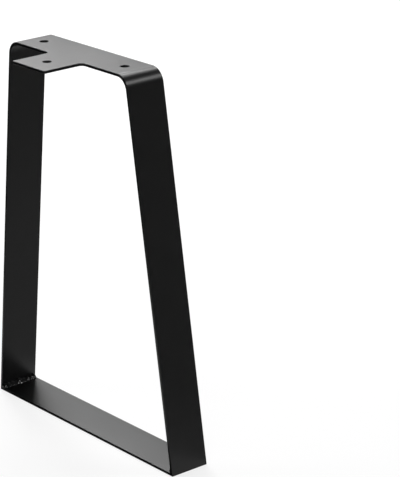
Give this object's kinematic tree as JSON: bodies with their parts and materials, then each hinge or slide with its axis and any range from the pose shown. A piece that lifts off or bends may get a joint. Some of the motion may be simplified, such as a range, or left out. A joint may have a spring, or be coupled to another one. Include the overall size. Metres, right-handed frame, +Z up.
{
  "type": "trestle table leg",
  "caption": "Splayed trapezoid table leg folded from flat steel, with a T-shaped screw-on top plate and a welded floor bar, in satin black paint.",
  "frame": {"origin": "middle of the floor bar's underside, on the floor", "axes": "+Z up, +X along the floor bar, +Y across the strap, away from the top plate's tongue"},
  "size_m": [0.3, 0.089, 0.4],
  "materials": {
    "black_paint": "satin powder coat"
  },
  "bodies": {
    "root": {"bent_strap": "black_paint", "foot_bar": "black_paint", "left_weld_bead": "black_paint", "right_weld_bead": "black_paint"}
  },
  "joints": []
}
